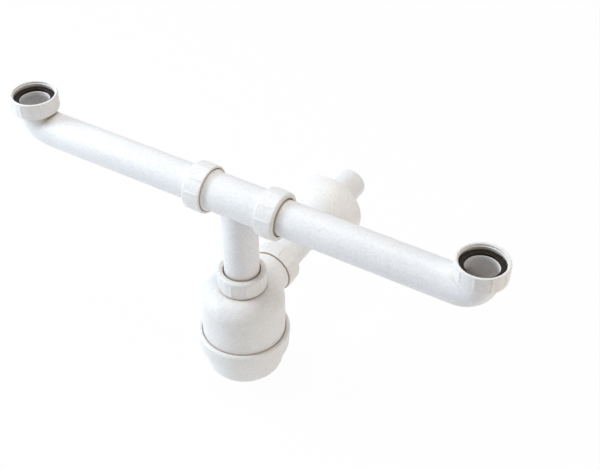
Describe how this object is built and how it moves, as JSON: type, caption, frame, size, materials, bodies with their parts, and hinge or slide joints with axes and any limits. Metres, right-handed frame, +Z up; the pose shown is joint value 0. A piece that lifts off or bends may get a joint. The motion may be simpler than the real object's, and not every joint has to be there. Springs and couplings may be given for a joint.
{
  "type": "basin trap",
  "caption": "White plastic twin-inlet bottle trap: elbowed inlet arms with union nuts, central tee and stem, bottle with screw cup, and a wall outlet with a domed flange.",
  "frame": {"origin": "centre of the cup's flat base", "axes": "+Z up along the bottle and stem, +X along the cross pipe, +Y along the outlet towards the wall"},
  "size_m": [0.6072, 0.3105, 0.283],
  "materials": {
    "pipe_plastic": "satin white polypropylene",
    "nut_plastic": "satin white polypropylene",
    "bottle_plastic": "satin white polypropylene",
    "flange_plastic": "satin white polypropylene",
    "slip_plastic": "plain natural polyethylene",
    "washer_rubber": "matt black rubber",
    "seal_rubber": "matt black rubber"
  },
  "bodies": {
    "bottle_body": {"bottle_body": "bottle_plastic"},
    "bottle_cup": {"bottle_cup": "bottle_plastic"},
    "cup_seal": {"cup_seal": "seal_rubber"},
    "left_arm": {"left_arm": "pipe_plastic", "left_inlet_washer": "washer_rubber"},
    "left_inlet_nut": {"left_inlet_nut": "nut_plastic"},
    "left_tee_nut": {"left_tee_nut": "nut_plastic"},
    "left_tee_seal": {"left_tee_seal": "seal_rubber"},
    "left_tee_slip_ring": {"left_tee_slip_ring": "slip_plastic"},
    "neck_nut": {"neck_nut": "nut_plastic"},
    "neck_seal": {"neck_seal": "seal_rubber"},
    "neck_slip_ring": {"neck_slip_ring": "slip_plastic"},
    "outlet_nut": {"outlet_nut": "nut_plastic"},
    "outlet_pipe": {"outlet_pipe": "pipe_plastic"},
    "outlet_seal": {"outlet_seal": "seal_rubber"},
    "outlet_slip_ring": {"outlet_slip_ring": "slip_plastic"},
    "right_arm": {"right_arm": "pipe_plastic", "right_inlet_washer": "washer_rubber"},
    "right_inlet_nut": {"right_inlet_nut": "nut_plastic"},
    "right_tee_nut": {"right_tee_nut": "nut_plastic"},
    "right_tee_seal": {"right_tee_seal": "seal_rubber"},
    "right_tee_slip_ring": {"right_tee_slip_ring": "slip_plastic"},
    "tee": {"tee": "pipe_plastic"},
    "wall_flange": {"wall_flange": "flange_plastic"}
  },
  "joints": [
    {"name": "stem_swivel", "type": "hinge", "parent": "bottle_body", "child": "neck_seal", "pos_m": [0, 0, 0.134], "axis": [0, 0, 1], "continuous": true},
    {"name": "stem_insertion", "type": "slide", "parent": "neck_seal", "child": "tee", "axis": [0, 0, 1], "range_m": [-0.004, 0.012]},
    {"name": "neck_nut_travel", "type": "slide", "parent": "bottle_body", "child": "neck_slip_ring", "axis": [0, 0, 1], "range_m": [0, 0.0116]},
    {"name": "neck_nut_turn", "type": "hinge", "parent": "neck_slip_ring", "child": "neck_nut", "pos_m": [0, 0, 0.132], "axis": [0, 0, 1], "range_deg": [0, 1800]},
    {"name": "cup_travel", "type": "slide", "parent": "bottle_body", "child": "cup_seal", "axis": [0, 0, -1], "range_m": [0, 0.02005]},
    {"name": "cup_turn", "type": "hinge", "parent": "cup_seal", "child": "bottle_cup", "pos_m": [0, 0, 0.044], "axis": [0, 0, -1], "range_deg": [0, 1800]},
    {"name": "outlet_swivel", "type": "hinge", "parent": "bottle_body", "child": "outlet_seal", "pos_m": [0, 0.0715, 0.094], "axis": [0, 1, 0], "continuous": true},
    {"name": "outlet_insertion", "type": "slide", "parent": "outlet_seal", "child": "outlet_pipe", "axis": [0, 1, 0], "range_m": [-0.003, 0.01]},
    {"name": "outlet_nut_travel", "type": "slide", "parent": "bottle_body", "child": "outlet_slip_ring", "axis": [0, 1, 0], "range_m": [0, 0.0139]},
    {"name": "outlet_nut_turn", "type": "hinge", "parent": "outlet_slip_ring", "child": "outlet_nut", "pos_m": [0, 0.068, 0.094], "axis": [0, 1, 0], "range_deg": [0, 2160]},
    {"name": "flange_slide", "type": "slide", "parent": "outlet_pipe", "child": "wall_flange", "axis": [0, 1, 0], "range_m": [-0.035, 0.045]},
    {"name": "left_arm_swivel", "type": "hinge", "parent": "tee", "child": "left_tee_seal", "pos_m": [-0.0475, 0, 0.241], "axis": [-1, 0, 0], "continuous": true},
    {"name": "left_arm_insertion", "type": "slide", "parent": "left_tee_seal", "child": "left_arm", "axis": [-1, 0, 0], "range_m": [-0.004, 0.016]},
    {"name": "left_tee_nut_travel", "type": "slide", "parent": "tee", "child": "left_tee_slip_ring", "axis": [-1, 0, 0], "range_m": [0, 0.0116]},
    {"name": "left_tee_nut_turn", "type": "hinge", "parent": "left_tee_slip_ring", "child": "left_tee_nut", "pos_m": [-0.043, 0, 0.241], "axis": [-1, 0, 0], "range_deg": [0, 1800]},
    {"name": "left_inlet_nut_turn", "type": "hinge", "parent": "left_arm", "child": "left_inlet_nut", "pos_m": [-0.276, 0, 0.273], "axis": [0, 0, 1], "continuous": true},
    {"name": "right_arm_swivel", "type": "hinge", "parent": "tee", "child": "right_tee_seal", "pos_m": [0.0475, 0, 0.241], "axis": [1, 0, 0], "continuous": true},
    {"name": "right_arm_insertion", "type": "slide", "parent": "right_tee_seal", "child": "right_arm", "axis": [1, 0, 0], "range_m": [-0.004, 0.016]},
    {"name": "right_tee_nut_travel", "type": "slide", "parent": "tee", "child": "right_tee_slip_ring", "axis": [1, 0, 0], "range_m": [0, 0.0116]},
    {"name": "right_tee_nut_turn", "type": "hinge", "parent": "right_tee_slip_ring", "child": "right_tee_nut", "pos_m": [0.043, 0, 0.241], "axis": [1, 0, 0], "range_deg": [0, 1800]},
    {"name": "right_inlet_nut_turn", "type": "hinge", "parent": "right_arm", "child": "right_inlet_nut", "pos_m": [0.276, 0, 0.273], "axis": [0, 0, 1], "continuous": true}
  ],
  "couplings": [
    {"joint": "neck_nut_travel", "follows": "neck_nut_turn", "m_per_rad": 0.00036749},
    {"joint": "cup_travel", "follows": "cup_turn", "m_per_rad": 0.00063662},
    {"joint": "outlet_nut_travel", "follows": "outlet_nut_turn", "m_per_rad": 0.00036749},
    {"joint": "left_tee_nut_travel", "follows": "left_tee_nut_turn", "m_per_rad": 0.00036749},
    {"joint": "right_tee_nut_travel", "follows": "right_tee_nut_turn", "m_per_rad": 0.00036749}
  ]
}
